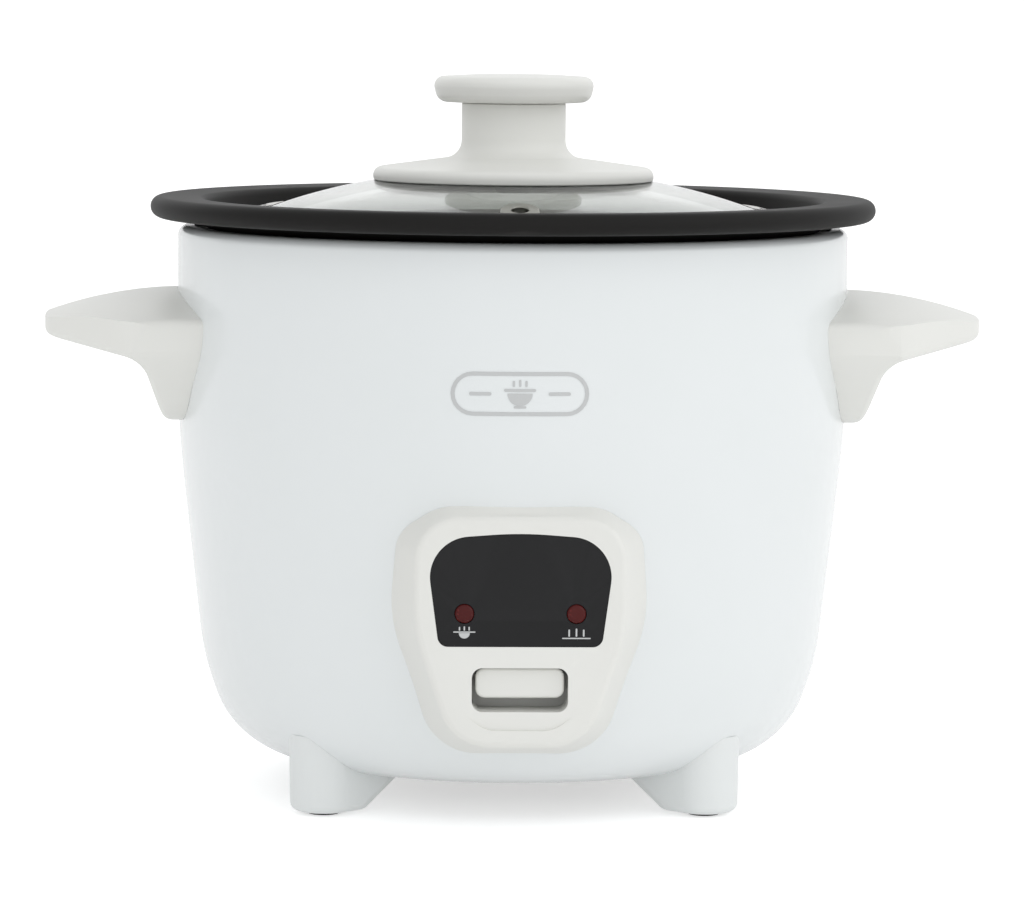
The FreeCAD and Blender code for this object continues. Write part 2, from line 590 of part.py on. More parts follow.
def make_base():
    """The bottom cover with its cooling slots, and its screws."""
    floor = SHELL_BOTTOM + SHELL_T
    cover = rod(COVER_R, (0, 0, floor), (0, 0, floor + COVER_T))
    for _, x, y in foot_spots():
        cover = cover.cut(rod(6.2, (x * FOOT_SCREW_REACH, y * FOOT_SCREW_REACH, 5),
                              (x * FOOT_SCREW_REACH, y * FOOT_SCREW_REACH, 15)))
    for row in range(-3, 4):
        reach = 30.0 - 3.0 * abs(row)
        y = row * 7.0
        slot = rounded_slot(reach, 1.5, y, floor)
        cover = cover.cut(slot)
    screws = []
    for x, y in cover_screw_spots():
        cover = cover.fuse(rod(3.4, (x * 0.985, y * 0.985, floor + 0.5), (x * 0.985, y * 0.985, floor + 6.0))
                           .common(rod(COVER_R, (0, 0, floor), (0, 0, 20))))
        cover = cover.cut(rod(1.3, (x, y, floor - 1), (x, y, floor + 5.0)))
        screws.append(pointing(pan_screw(2.7, 1.5, 1.3, 5.5), (0, 0, 1), (x, y, SHELL_BOTTOM)))
    return {"base_cover": cover.removeSplitter(), "cover_screws": Part.makeCompound(screws)}


def rounded_slot(reach, half_width, y, floor):
    """A long slot across the bottom cover."""
    bar = block((-reach, y - half_width, floor - 1), (reach, y + half_width, floor + 3))
    ends = [rod(half_width, (sign * reach, y, floor - 1), (sign * reach, y, floor + 3)) for sign in (-1, 1)]
    return joined([bar] + ends)


def make_inlet():
    """The power inlet: a moulded socket in the back with three flat pins."""
    width, height, depth = INLET_CAVITY
    face = [(x, z, 3.0) for x, z in ((-17.5, INLET_Z - 13.5), (17.5, INLET_Z - 13.5),
                                     (17.5, INLET_Z + 13.5), (-17.5, INLET_Z + 13.5))]
    rim = [(p[0] * 0.92, INLET_Z + (p[1] - INLET_Z) * 0.9, 2.6) for p in face]
    housing = lofted(face, rim, 60.0, INLET_FACE)
    housing = soften(housing, 0.8, lambda e: e.BoundBox.YMin > INLET_FACE - 0.01)
    housing = housing.cut(shell_envelope())
    neck = rounded_box(30.0, 22.0, 2.0, 0, INLET_Z, 54.0, 72.0)
    housing = housing.fuse(neck).removeSplitter()
    x, z, cut = width / 2, height / 2, 4.6
    mouth = [(-x, INLET_Z - z, 0.8), (x, INLET_Z - z, 0.8), (x, INLET_Z + z - cut, 0.8),
             (x - cut, INLET_Z + z, 0.8), (cut - x, INLET_Z + z, 0.8), (-x, INLET_Z + z - cut, 0.8)]
    housing = housing.cut(prism_y(mouth, INLET_FACE - depth, INLET_FACE + 2))
    pins = []
    for px, pz in ((-7.0, -1.4), (7.0, -1.4), (0.0, 2.6)):
        pin = block((px - 1.0, 48.0, INLET_Z + pz - 2.0), (px + 1.0, 71.0, INLET_Z + pz + 2.0))
        housing = housing.cut(pin)
        pins.append(soften(pin, 0.45, lambda e: e.BoundBox.YMin > 70.9))
    return {"inlet_housing": housing, "inlet_pins": Part.makeCompound(pins)}


def make_pot():
    low = RIM_TOP - RIM_BEAD
    path = [(RIM_R - 3.6, low), (RIM_R, low, 2.45), (RIM_R, RIM_TOP, 2.45), (68.1, RIM_TOP - 0.5, 1.7),
            (67.4, LID_SEAT_Z, 0.9), (62.8, LID_SEAT_Z, 1.6), (61.8, PLATE_TOP + POT_T, 9.0),
            (0, PLATE_TOP + POT_T)]
    return {"cooking_pot": sheet(path, POT_T)}


def dome(radius_cut, outside, thick):
    """A round piece of the lid's spherical glass, and of what lies against it."""
    centre = Vector(0, 0, DOME_TOP - DOME_RADIUS)
    ball = Part.makeSphere(outside, centre).cut(Part.makeSphere(outside - thick, centre))
    return ball.common(rod(radius_cut, (0, 0, 110), (0, 0, 150)))


def make_lid():
    """The glass and its steel rim, the vent's eyelet, the knob and what fastens it."""
    glass = dome(GLASS_R, DOME_RADIUS, GLASS_T).cut(rod(3.6, (0, 0, 120), (0, 0, 150)))
    tilt = math.asin(VENT_RADIUS / DOME_RADIUS)
    outward = (0, -math.sin(tilt), math.cos(tilt))
    height = DOME_TOP - DOME_RADIUS + DOME_RADIUS * math.cos(tilt)
    vent = (0, -VENT_RADIUS, height)
    below = [v - 6 * o for v, o in zip(vent, outward)]
    above = [v + 3 * o for v, o in zip(vent, outward)]
    glass = glass.cut(rod(2.6, below, above))
    glass = soften(glass, 0.7, lambda e: e.Length > 300)
    eyelet = lathe([(1.8, -3.75), (3.7, -3.75, 0.2), (3.7, -3.08), (2.5, -3.08), (2.5, 0.02), (4.15, 0.02, 0.1),
                    (4.1, 0.75, 0.3), (1.8, 0.9, 0.45)])
    parts = {"lid_glass": glass, "steam_vent_eyelet": pointing(eyelet, outward, vent)}

    top = sheet([(55.3, 127.4), (57.7, 126.75, 0.4), (58.2, 126.0, 0.4), (66.2, 126.0, 0.9),
                 (66.2, LID_SEAT_Z)], -0.5)
    under = sheet([(55.4, 122.7), (57.7, 122.2, 0.6), (57.7, 125.9)], 0.4)
    parts["lid_rim_band"] = joined([top, under])
    parts.update(make_knob())
    return parts


def make_knob():
    """The hollow knob base and its cap, the seal under it, and the screw that holds them to the glass."""
    hub = DOME_TOP + 0.8
    base = lathe([(2.4, hub), (7.5, hub, 0.4), (28.6, 135.6, 1.2), (29.4, 133.95), (30.9, 133.95, 0.4),
                  (SKIRT_R, 136.9, 2.2), (11.5, 138.8, 4.0), (11.5, 150.3, 0.3), (9.5, 150.3, 0.3), (9.5, 141.6, 0.6),
                  (2.4, 141.6)])
    cap = lathe([(0, 148.5), (2.0, 148.5), (2.0, 141.7), (4.8, 141.7, 0.3), (4.8, 153.6, 0.8), (7.8, 153.6, 0.8),
                 (7.8, 148.6, 0.3), (9.4, 148.6, 0.3), (9.4, 150.5), (16.6, 150.5, 1.6), (CAP_R, 153.4, 3),
                 (CAP_R, 156.1, 2.0), (9.0, KNOB_TOP, 60), (0, KNOB_TOP)])
    seal = lathe([(2.4, 133.4), (3.5, 133.4), (3.5, 136.75), (7.2, 136.75, 0.2), (7.2, 137.4, 0.2), (2.4, 137.4)])
    washer = lathe([(2.4, 132.3), (8.0, 132.3, 0.3), (8.0, 133.3, 0.3), (2.4, 133.3)])
    screw = pan_screw(4.2, 2.0, 2.0, 14.0).translated(Vector(0, 0, 132.3))
    return {"knob_base": base, "knob_cap": cap, "knob_seal": seal, "knob_washer": washer, "knob_screw": screw}


def write(parts):
    os.makedirs("parts", exist_ok=True)
    for name, shape in parts.items():
        if not shape.isValid():
            print("not valid:", name)
        shape.translated(Vector(0, 0, -TABLE_Z)).exportStep(f"parts/{name}.step")


def main():
    parts = {"outer_shell": make_outer_shell(), "inner_liner": make_inner_liner()}
    for make in (make_heating, make_thermostat, make_lever, make_switch, make_wiring_parts, make_panel,
                 make_handles, make_feet, make_base, make_inlet, make_pot, make_lid):
        parts.update(make())
    write(parts)
    for name, shape in parts.items():
        print(name, len(shape.Solids), round(shape.Volume, 1))


main()
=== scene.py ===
import json
import math

import bpy
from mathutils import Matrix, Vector

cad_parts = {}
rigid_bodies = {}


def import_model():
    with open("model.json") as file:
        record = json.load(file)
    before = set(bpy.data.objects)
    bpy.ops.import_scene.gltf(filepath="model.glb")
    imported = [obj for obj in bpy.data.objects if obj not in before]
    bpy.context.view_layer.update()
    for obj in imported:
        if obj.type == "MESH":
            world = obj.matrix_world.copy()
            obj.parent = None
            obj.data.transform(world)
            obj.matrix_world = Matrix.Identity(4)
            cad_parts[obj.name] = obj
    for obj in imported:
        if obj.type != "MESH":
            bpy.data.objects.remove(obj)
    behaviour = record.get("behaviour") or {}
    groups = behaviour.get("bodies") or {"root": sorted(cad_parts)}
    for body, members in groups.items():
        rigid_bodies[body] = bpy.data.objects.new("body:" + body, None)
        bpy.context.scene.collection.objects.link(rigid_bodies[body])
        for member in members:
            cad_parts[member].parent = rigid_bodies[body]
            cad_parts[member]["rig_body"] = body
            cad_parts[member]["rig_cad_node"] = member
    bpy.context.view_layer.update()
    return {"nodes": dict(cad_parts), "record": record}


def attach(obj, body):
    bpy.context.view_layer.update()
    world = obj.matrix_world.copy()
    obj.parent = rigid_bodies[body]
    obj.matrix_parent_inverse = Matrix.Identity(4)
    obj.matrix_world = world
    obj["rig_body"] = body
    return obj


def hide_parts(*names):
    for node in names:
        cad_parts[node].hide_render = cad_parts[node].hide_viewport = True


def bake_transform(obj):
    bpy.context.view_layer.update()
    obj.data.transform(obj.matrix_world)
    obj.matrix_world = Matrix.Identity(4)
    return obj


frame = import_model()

MM = 0.001
SEAM = 0.002 * MM


# ---- Studio -------------------------------------------------------------------------------
# A white paper sweep in an even white room that is brighter in front and on the right, with a key
# light and a faint card above and behind. The camera has a long lens and looks slightly down.
CAMERA_REACH = 1.010
CAMERA_HEIGHT = 0.1761
CAMERA_SIDE = math.radians(-1.6)
CAMERA_OFFSET = -0.0006
CAMERA_PITCH = math.radians(5.79)
CAMERA_ROLL = math.radians(-0.42)
LENS_LENGTH = 160.4
SWEEP_WIDTH, SWEEP_DEPTH, SWEEP_HEIGHT, SWEEP_CURVE = 8.0, 2.6, 3.0, 0.7
ROOM_LIGHT = 0.88
ROOM_LEAN = (0.14, -0.22, -0.02)
PAPER_GLOW, PAPER_GLOW_SEEN = 0.26, 0.5
KEY_WATTS, CARD_WATTS = 2.5, 1.0

for item in (o for o in bpy.data.objects if o.name in ("Cube", "Light", "Camera")):
    bpy.data.objects.remove(item)
bpy.context.scene.view_settings.view_transform = "Standard"

bpy.ops.object.select_all(action="DESELECT")
bpy.ops.object.camera_add(
    location=(CAMERA_REACH * math.sin(CAMERA_SIDE) + CAMERA_OFFSET, -CAMERA_REACH * math.cos(CAMERA_SIDE),
              CAMERA_HEIGHT),
    rotation=(math.pi / 2 - CAMERA_PITCH, CAMERA_ROLL, CAMERA_SIDE))
camera = bpy.context.object
camera.data.lens = LENS_LENGTH
bpy.context.scene.camera = camera

bpy.ops.mesh.primitive_plane_add(size=1, location=(0, 0, 0))
sweep = bpy.context.object
sweep.name = "backdrop"
sweep.scale = (SWEEP_WIDTH, 2 * SWEEP_DEPTH, 1)
bpy.ops.object.transform_apply(scale=True)
bpy.ops.object.mode_set(mode="EDIT")
bpy.ops.mesh.select_mode(type="EDGE")
bpy.ops.mesh.select_all(action="DESELECT")
bpy.ops.object.mode_set(mode="OBJECT")
for edge in sweep.data.edges:
    edge.select = all(sweep.data.vertices[i].co.y > 0 for i in edge.vertices)
bpy.ops.object.mode_set(mode="EDIT")
bpy.ops.mesh.extrude_region_move(TRANSFORM_OT_translate={"value": (0, 0, SWEEP_HEIGHT)})
bpy.ops.object.mode_set(mode="OBJECT")
for edge in sweep.data.edges:
    ends = [sweep.data.vertices[i].co for i in edge.vertices]
    edge.select = all(abs(c.z) < 1e-6 and c.y > 0 for c in ends)
bpy.ops.object.mode_set(mode="EDIT")
bpy.ops.mesh.bevel(offset=SWEEP_CURVE, segments=24, affect="EDGES")
bpy.ops.object.mode_set(mode="OBJECT")
bpy.ops.object.shade_smooth()
paper = bpy.data.materials.new("white_paper")
paper.use_nodes = True
paper_skin = paper.node_tree.nodes["Principled BSDF"]
paper_skin.inputs["Base Color"].default_value = (0.75, 0.75, 0.75, 1)
paper_skin.inputs["Roughness"].default_value = 0.9
paper_skin.inputs["Emission Color"].default_value = (1, 1, 1, 1)
seen = paper.node_tree.nodes.new("ShaderNodeLightPath")
glow = paper.node_tree.nodes.new("ShaderNodeMapRange")
glow.inputs["To Min"].default_value, glow.inputs["To Max"].default_value = PAPER_GLOW, PAPER_GLOW_SEEN
paper.node_tree.links.new(seen.outputs["Is Camera Ray"], glow.inputs["Value"])
paper.node_tree.links.new(glow.outputs["Result"], paper_skin.inputs["Emission Strength"])
sweep.data.materials.append(paper)

room = bpy.data.worlds.new("studio_room")
bpy.context.scene.world = room
room.use_nodes = True
air = room.node_tree.nodes["Background"]
air.inputs["Color"].default_value = (0.985, 0.993, 1.0, 1)
way = room.node_tree.nodes.new("ShaderNodeTexCoord")
lean = room.node_tree.nodes.new("ShaderNodeVectorMath")
lean.operation = "DOT_PRODUCT"
lean.inputs[1].default_value = ROOM_LEAN
level = room.node_tree.nodes.new("ShaderNodeMath")
level.inputs[1].default_value = ROOM_LIGHT
seen = room.node_tree.nodes.new("ShaderNodeLightPath")
white = room.node_tree.nodes.new("ShaderNodeMath")
white.operation = "MAXIMUM"
room.node_tree.links.new(way.outputs["Generated"], lean.inputs[0])
room.node_tree.links.new(lean.outputs["Value"], level.inputs[0])
room.node_tree.links.new(level.outputs[0], white.inputs[0])
room.node_tree.links.new(seen.outputs["Is Camera Ray"], white.inputs[1])
room.node_tree.links.new(white.outputs[0], air.inputs["Strength"])


def soft_light(name, place, aim, size, watts):
    """A rectangular soft box of size (width, height) that faces the point it is aimed at."""
    bpy.ops.object.light_add(type="AREA", location=place)
    light = bpy.context.object
    light.name = name
    light.rotation_euler = (Vector(aim) - Vector(place)).to_track_quat("-Z", "Y").to_euler()
    light.data.shape = "RECTANGLE"
    light.data.size, light.data.size_y = size
    light.data.energy = watts


soft_light("key", (1.5, -0.7, 1.0), (0, 0, 0.08), (1.2, 1.2), KEY_WATTS)
soft_light("back_card", (0, 1.15, 0.86), (0, 0, 0.12), (2.2, 0.75), CARD_WATTS)


# ---- Outer shell ----------------------------------------------------------------------------
# One deep-drawn steel pressing with a turned-in lip and flange, sprayed and baked in a cool
# glossy white. The front is pierced for the switch lever and lamps, the back for the inlet.
SHELL_RADIUS = 74.0
SHELL_TOP = 124.7
SHELL_SHEET = 0.9
SHELL_OUTLINE = [(46.0, 8.7), (51.3, 8.7, 2.5), (62.1, 12.0, 20.0), (68.35, 29.7, 58.0),
                 (SHELL_RADIUS, 81.0, 190.0), (SHELL_RADIUS, SHELL_TOP, 2.2), (70.4, SHELL_TOP)]
FRONT_OPENING = ((-17.5, -80, 27.0), (17.5, -55, 61.4))
INLET_OPENING = ((-15.2, 55, 24.3), (15.2, 80, 46.7))


def rounded_outline(points, degrees_each=9.0):
    """Follows (radius, height, rounding) corners in millimetres, with each rounding as an arc."""
    spots = [Vector(p[:2]) for p in points]
    outline = []
    for i, spot in enumerate(spots):
        size = points[i][2] if len(points[i]) > 2 else 0.0
        if size <= 0 or i in (0, len(spots) - 1):
            outline.append(spot)
            continue
        back = (spots[i - 1] - spot).normalized()
        ahead = (spots[i + 1] - spot).normalized()
        half = back.angle(ahead) / 2
        centre = spot + (back + ahead).normalized() * (size / math.sin(half))
        start = spot + back * (size / math.tan(half)) - centre
        turn = start.angle_signed(spot + ahead * (size / math.tan(half)) - centre)
        steps = max(2, math.ceil(abs(math.degrees(turn)) / degrees_each))
        for k in range(steps + 1):
            angle = -turn * k / steps
            outline.append(centre + Vector((start.x * math.cos(angle) - start.y * math.sin(angle),
                                            start.x * math.sin(angle) + start.y * math.cos(angle))))
    return [(p.x, p.y) for p in outline]


def finish_mesh(piece, crease=32.0):
    """Closes seams and poles, turns the faces outwards and rounds the shading up to the crease angle."""
    bpy.ops.object.mode_set(mode="EDIT")
    bpy.ops.mesh.select_all(action="SELECT")
    bpy.ops.mesh.remove_doubles(threshold=SEAM)
    bpy.ops.mesh.normals_make_consistent(inside=False)
    bpy.ops.object.mode_set(mode="OBJECT")
    bpy.ops.object.transform_apply(location=True, rotation=True, scale=True)
    bpy.ops.object.shade_smooth_by_angle(angle=math.radians(crease))
    return piece


def turned(name, outline, segments=144):
    """A round piece raised ring by ring, from a circle, along an outline of (radius, height)."""
    bpy.ops.object.select_all(action="DESELECT")
    radius, height = outline[0]
    bpy.ops.mesh.primitive_circle_add(vertices=segments, radius=radius * MM, location=(0, 0, height * MM))
    piece = bpy.context.object
    piece.name = name
    bpy.ops.object.mode_set(mode="EDIT")
    bpy.ops.mesh.select_all(action="SELECT")
    for next_radius, next_height in outline[1:]:
        rise = (next_height - height) * MM
        bpy.ops.mesh.extrude_region_move(TRANSFORM_OT_translate={"value": (0, 0, rise)})
        grow = max(next_radius, 1e-4) / radius
        bpy.ops.transform.resize(value=(grow, grow, 1))
        radius, height = max(next_radius, 1e-4), next_height
    bpy.ops.object.mode_set(mode="OBJECT")
    return piece


def apply_modifier(piece, kind, **settings):
    """Adds one modifier to the piece and applies it."""
    bpy.context.view_layer.objects.active = piece
    modifier = piece.modifiers.new(kind.lower(), kind)
    for key, value in settings.items():
        setattr(modifier, key, value)
    bpy.ops.object.modifier_apply(modifier=modifier.name)


def cut_box(piece, low, high):
    """Cuts a box, given by two corners in millimetres, out of the piece."""
    bpy.ops.object.select_all(action="DESELECT")
    bpy.ops.mesh.primitive_cube_add(size=1, location=[(a + b) / 2 * MM for a, b in zip(low, high)])
    cutter = bpy.context.object
    cutter.scale = [(b - a) * MM for a, b in zip(low, high)]
    bpy.ops.object.transform_apply(scale=True)
    bpy.ops.object.select_all(action="DESELECT")
    piece.select_set(True)
    apply_modifier(piece, "BOOLEAN", operation="DIFFERENCE", object=cutter, solver="EXACT")
    bpy.data.objects.remove(cutter)


def surface_marks():
    """Node group: a broad mottle, a fine grain, turning rings round the axis and worn edges, each 0 to 1."""
    group = bpy.data.node_groups.new("surface_marks", "ShaderNodeTree")
    for label, value in (("Mottle size", 0.03), ("Grain size", 0.001)):
        socket = group.interface.new_socket(label, in_out="INPUT", socket_type="NodeSocketFloat")
        socket.default_value = value
    for label in ("Mottle", "Grain", "Rings", "Edge"):
        group.interface.new_socket(label, in_out="OUTPUT", socket_type="NodeSocketFloat")
    nodes, links = group.nodes, group.links
    inside, outside = nodes.new("NodeGroupInput"), nodes.new("NodeGroupOutput")
    place = nodes.new("ShaderNodeTexCoord")
    scales = []
    for index, label in enumerate(("Mottle", "Grain")):
        scale = nodes.new("ShaderNodeMath")
        scale.operation = "DIVIDE"
        scale.inputs[0].default_value = 1.0
        noise = nodes.new("ShaderNodeTexNoise")
        noise.inputs["Detail"].default_value = 3.0
        links.new(inside.outputs[index], scale.inputs[1])
        links.new(scale.outputs[0], noise.inputs["Scale"])
        links.new(place.outputs["Object"], noise.inputs["Vector"])
        links.new(noise.outputs["Fac"], outside.inputs[label])
        scales.append(scale)
    flat = nodes.new("ShaderNodeVectorMath")
    flat.operation = "MULTIPLY"
    flat.inputs[1].default_value = (1, 1, 0)
    reach = nodes.new("ShaderNodeVectorMath")
    reach.operation = "LENGTH"
    height = nodes.new("ShaderNodeSeparateXYZ")
    swept = nodes.new("ShaderNodeCombineXYZ")
    rings = nodes.new("ShaderNodeTexNoise")
    rings.inputs["Detail"].default_value = 2.0
    links.new(place.outputs["Object"], flat.inputs[0])
    links.new(flat.outputs["Vector"], reach.inputs[0])
    links.new(place.outputs["Object"], height.inputs[0])
    links.new(reach.outputs["Value"], swept.inputs["X"])
    links.new(height.outputs["Z"], swept.inputs["Y"])
    links.new(swept.outputs[0], rings.inputs["Vector"])
    links.new(scales[1].outputs[0], rings.inputs["Scale"])
    links.new(rings.outputs["Fac"], outside.inputs["Rings"])
    form = nodes.new("ShaderNodeNewGeometry")
    edge = nodes.new("ShaderNodeMapRange")
    edge.inputs["From Min"].default_value, edge.inputs["From Max"].default_value = 0.53, 0.68
    links.new(form.outputs["Pointiness"], edge.inputs["Value"])
    links.new(edge.outputs["Result"], outside.inputs["Edge"])
    return group


SURFACE_MARKS = surface_marks()


def finish(name, dark, light, roughness, bump, grain=0.001, mottle=0.03, depth=0.0001, rings=False, wear_and_shade=None,
           **uniform):
    """A finish that drifts between two colours and two roughnesses, with raised grain or turning rings,
    and a worn colour along its edges; the lid glass reuses that colour as a painted shade towards its rim."""
    material = bpy.data.materials.new(name)
    material.use_nodes = True
    nodes, links = material.node_tree.nodes, material.node_tree.links
    skin = nodes["Principled BSDF"]
    source = nodes.new("ShaderNodeGroup")
    source.node_tree = SURFACE_MARKS
    source.inputs["Mottle size"].default_value = mottle
    source.inputs["Grain size"].default_value = grain
    shade = nodes.new("ShaderNodeMix")
    shade.data_type = "RGBA"
    shade.inputs["A"].default_value = (*dark, 1)
    shade.inputs["B"].default_value = (*light, 1)
    # Mixes in the edge colour: worn edges on most finishes, a painted shade towards the rim on the lid glass.
    wear_and_shade_mix = nodes.new("ShaderNodeMix")
    wear_and_shade_mix.data_type = "RGBA"
    wear_and_shade_mix.inputs["B"].default_value = (*(wear_and_shade or light), 1)
    gloss = nodes.new("ShaderNodeMapRange")
    gloss.inputs["To Min"].default_value, gloss.inputs["To Max"].default_value = roughness
    relief = nodes.new("ShaderNodeBump")
    relief.inputs["Strength"].default_value = bump
    relief.inputs["Distance"].default_value = depth
    links.new(source.outputs["Mottle"], shade.inputs["Factor"])
    links.new(source.outputs["Mottle"], gloss.inputs["Value"])
    links.new(source.outputs["Rings" if rings else "Grain"], relief.inputs["Height"])
    links.new(source.outputs["Edge"], wear_and_shade_mix.inputs["Factor"])
    links.new(shade.outputs["Result"], wear_and_shade_mix.inputs["A"])
    links.new(wear_and_shade_mix.outputs["Result"], skin.inputs["Base Color"])
    links.new(gloss.outputs["Result"], skin.inputs["Roughness"])
    links.new(relief.outputs["Normal"], skin.inputs["Normal"])
    for label, value in uniform.items():
        skin.inputs[label.replace("_", " ")].default_value = value
    return material


def dress(piece, material):
    """Gives a piece, or a CAD node by its name, one material."""
    piece = frame["nodes"][piece] if isinstance(piece, str) else piece
    piece.data.materials.clear()
    piece.data.materials.append(material)
    return piece


shell = turned("shell_pressing", rounded_outline(SHELL_OUTLINE, 3.0))
finish_mesh(shell)
apply_modifier(shell, "SOLIDIFY", thickness=SHELL_SHEET * MM, offset=-1.0)
cut_box(shell, *FRONT_OPENING)
cut_box(shell, *INLET_OPENING)
bpy.ops.object.shade_smooth_by_angle(angle=math.radians(32))
shell_paint = finish("shell_paint", (0.76, 0.79, 0.79), (0.79, 0.815, 0.82), (0.16, 0.24), 0.05, grain=0.0016,
                     depth=0.00003, Coat_Weight=0.5, Coat_Roughness=0.05)
dress(shell, shell_paint)
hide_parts("outer_shell")
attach(shell, "root")


# ---- Handles, bezel, lever paddle and feet ----------------------------------------------------
# Injection mouldings in a warm off-white plastic with a fine spark-eroded texture. They are
# screwed to the shell from inside; the feet are moulded in a cooler white that matches it.
def smoothed(node, name, crease=30.0, rides=True):
    """A copy of a CAD node with its triangles joined, so that light runs smoothly over it."""
    bpy.ops.object.select_all(action="DESELECT")
    body = frame["nodes"][node]["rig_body"]
    piece = frame["nodes"][node].copy()
    piece.data = piece.data.copy()
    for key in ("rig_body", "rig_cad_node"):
        if key in piece:
            del piece[key]
    piece.parent = None
    bpy.context.scene.collection.objects.link(piece)
    piece.name = name
    piece.select_set(True)
    bpy.context.view_layer.objects.active = piece
    bpy.ops.object.mode_set(mode="EDIT")
    bpy.ops.mesh.select_all(action="SELECT")
    bpy.ops.mesh.customdata_custom_splitnormals_clear() if piece.data.has_custom_normals else None
    bpy.ops.mesh.remove_doubles(threshold=SEAM)
    bpy.ops.object.mode_set(mode="OBJECT")
    bpy.ops.object.shade_smooth_by_angle(angle=math.radians(crease))
    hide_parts(node)
    if rides:
        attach(piece, body)
    return piece


warm_plastic = finish("warm_white_plastic", (0.755, 0.755, 0.72), (0.785, 0.785, 0.752), (0.34, 0.44), 0.12,
                      grain=0.0005, depth=0.00004)
cool_plastic = finish("cool_white_plastic", (0.745, 0.77, 0.765), (0.775, 0.795, 0.79), (0.3, 0.4), 0.12,
                      grain=0.0005, depth=0.00004)
for node, name in (("handle_left", "left_handle"), ("handle_right", "right_handle"),
                   ("control_bezel", "bezel")):
    moulding = smoothed(node, name)
    dress(moulding, warm_plastic)

# The bezel's top edge is drawn up a little in the middle and rounded off at the shoulders, where it
# runs out on the shell. Its flat face stays as it is.
SHELL_HERE, EDGE_MIDDLE, EDGE_SHOULDER, SHOULDER_START, SHOULDER_TOP = 73.0, 2.2, 4.8, 52.0, 69.0
CROWN_RISE, SHOULDER_DROP, SHOULDER_AT = 0.9, 2.1, 21.0
for vertex in moulding.data.vertices:
    reach, proud, height = abs(vertex.co.x) / MM, -vertex.co.y / MM, vertex.co.z / MM
    sideways = min(reach / SHOULDER_AT, 1)
    edge_width = EDGE_MIDDLE + (EDGE_SHOULDER - EDGE_MIDDLE) * sideways ** 2
    near_shell = 1 - (proud - math.sqrt(SHELL_HERE ** 2 - reach ** 2)) / edge_width
    up_side = (height - SHOULDER_START) / (SHOULDER_TOP - SHOULDER_START)
    weight = min(max(near_shell, 0), 1) * min(max(up_side, 0), 1)
    shift = CROWN_RISE - SHOULDER_DROP * sideways ** 3
    vertex.co.z += weight * shift * MM
dress(smoothed("lever_paddle", "paddle"), warm_plastic)
dress("lever_shield", warm_plastic)
for end in ("front", "rear"):
    for side in ("left", "right"):
        foot = smoothed(f"foot_{end}_{side}", f"{end}_{side}_foot")
        dress(foot, cool_plastic)

rubber = finish("black_rubber", (0.018, 0.018, 0.018), (0.03, 0.03, 0.03), (0.6, 0.75), 0.4, grain=0.0004)
dress("foot_pads", rubber)
silicone = finish("white_silicone", (0.58, 0.59, 0.57), (0.64, 0.65, 0.63), (0.4, 0.5), 0.1, grain=0.0005)
dress("knob_seal", silicone)


# ---- Window and lamp lenses -------------------------------------------------------------------
# A smoked black panel snapped into the bezel, with two red lenses pushed through it from behind.
smoke = finish("smoked_panel", (0.005, 0.005, 0.0055), (0.007, 0.007, 0.0075), (0.25, 0.34), 0.03,
               grain=0.0007, depth=0.00003, wear_and_shade=(0.02, 0.02, 0.021), Specular_IOR_Level=0.2)
dress("window_panel", smoke)
red_lens = finish("red_lens", (0.055, 0.006, 0.006), (0.085, 0.009, 0.008), (0.22, 0.32), 0.05, depth=0.00005,
                  wear_and_shade=(0.16, 0.02, 0.018), Specular_IOR_Level=0.2)
dress(smoothed("lamp_lenses", "lens_pair"), red_lens)


# ---- Printed signs ------------------------------------------------------------------------------
# Pad printed in light grey ink. A rice bowl in a long frame stands high on the front. Under the
# lamps are a steaming bowl for cooking and rising warmth for keeping warm.
BADGE_CENTRE, BADGE_SIZE, BADGE_LINE = (-0.4, 93.8), (28.6, 9.1), 0.8
SIGN_HEIGHT, SIGN_REACH, SIGN_WIDTH, SIGN_LINE = 44.2, 11.6, 5.9, 0.26
PRINT_START, PRINT_LIFT, PRINT_THICK, PRINT_STEP = -90.0, 0.07, 0.04, 1.0


def printed_bar(middle, size, rounding, line=0.0):
    """A flat bar with rounded ends, facing forward; with a line width it is only a frame."""
    bpy.ops.mesh.primitive_plane_add(size=1, location=(middle[0] * MM, PRINT_START * MM, middle[1] * MM),
                                     rotation=(math.pi / 2, 0, 0))
    bar = bpy.context.object
    bar.scale = (size[0] * MM, size[1] * MM, 1)
    bpy.ops.object.transform_apply(location=True, rotation=True, scale=True)
    bpy.ops.object.mode_set(mode="EDIT")
    bpy.ops.mesh.select_all(action="SELECT")
    bpy.ops.mesh.bevel(offset=rounding * MM, segments=6, affect="VERTICES")
    bpy.ops.mesh.select_all(action="SELECT")
    if line:
        bpy.ops.mesh.inset(thickness=line * MM)
        bpy.ops.mesh.delete(type="FACE")
    bpy.ops.object.mode_set(mode="OBJECT")
    return bar


def printed_bowl(middle, radius):
    """The lower half of a disc."""
    bpy.ops.mesh.primitive_circle_add(vertices=32, radius=radius * MM, fill_type="NGON",
                                      location=(middle[0] * MM, PRINT_START * MM, middle[1] * MM),
                                      rotation=(math.pi / 2, 0, 0))
    bowl = bpy.context.object
    bpy.ops.object.transform_apply(location=True, rotation=True, scale=True)
    bpy.ops.object.mode_set(mode="EDIT")
    bpy.ops.mesh.select_all(action="SELECT")
    bpy.ops.mesh.bisect(plane_co=(0, 0, middle[1] * MM), plane_no=(0, 0, 1), clear_outer=True)
    bpy.ops.object.mode_set(mode="OBJECT")
    return bowl


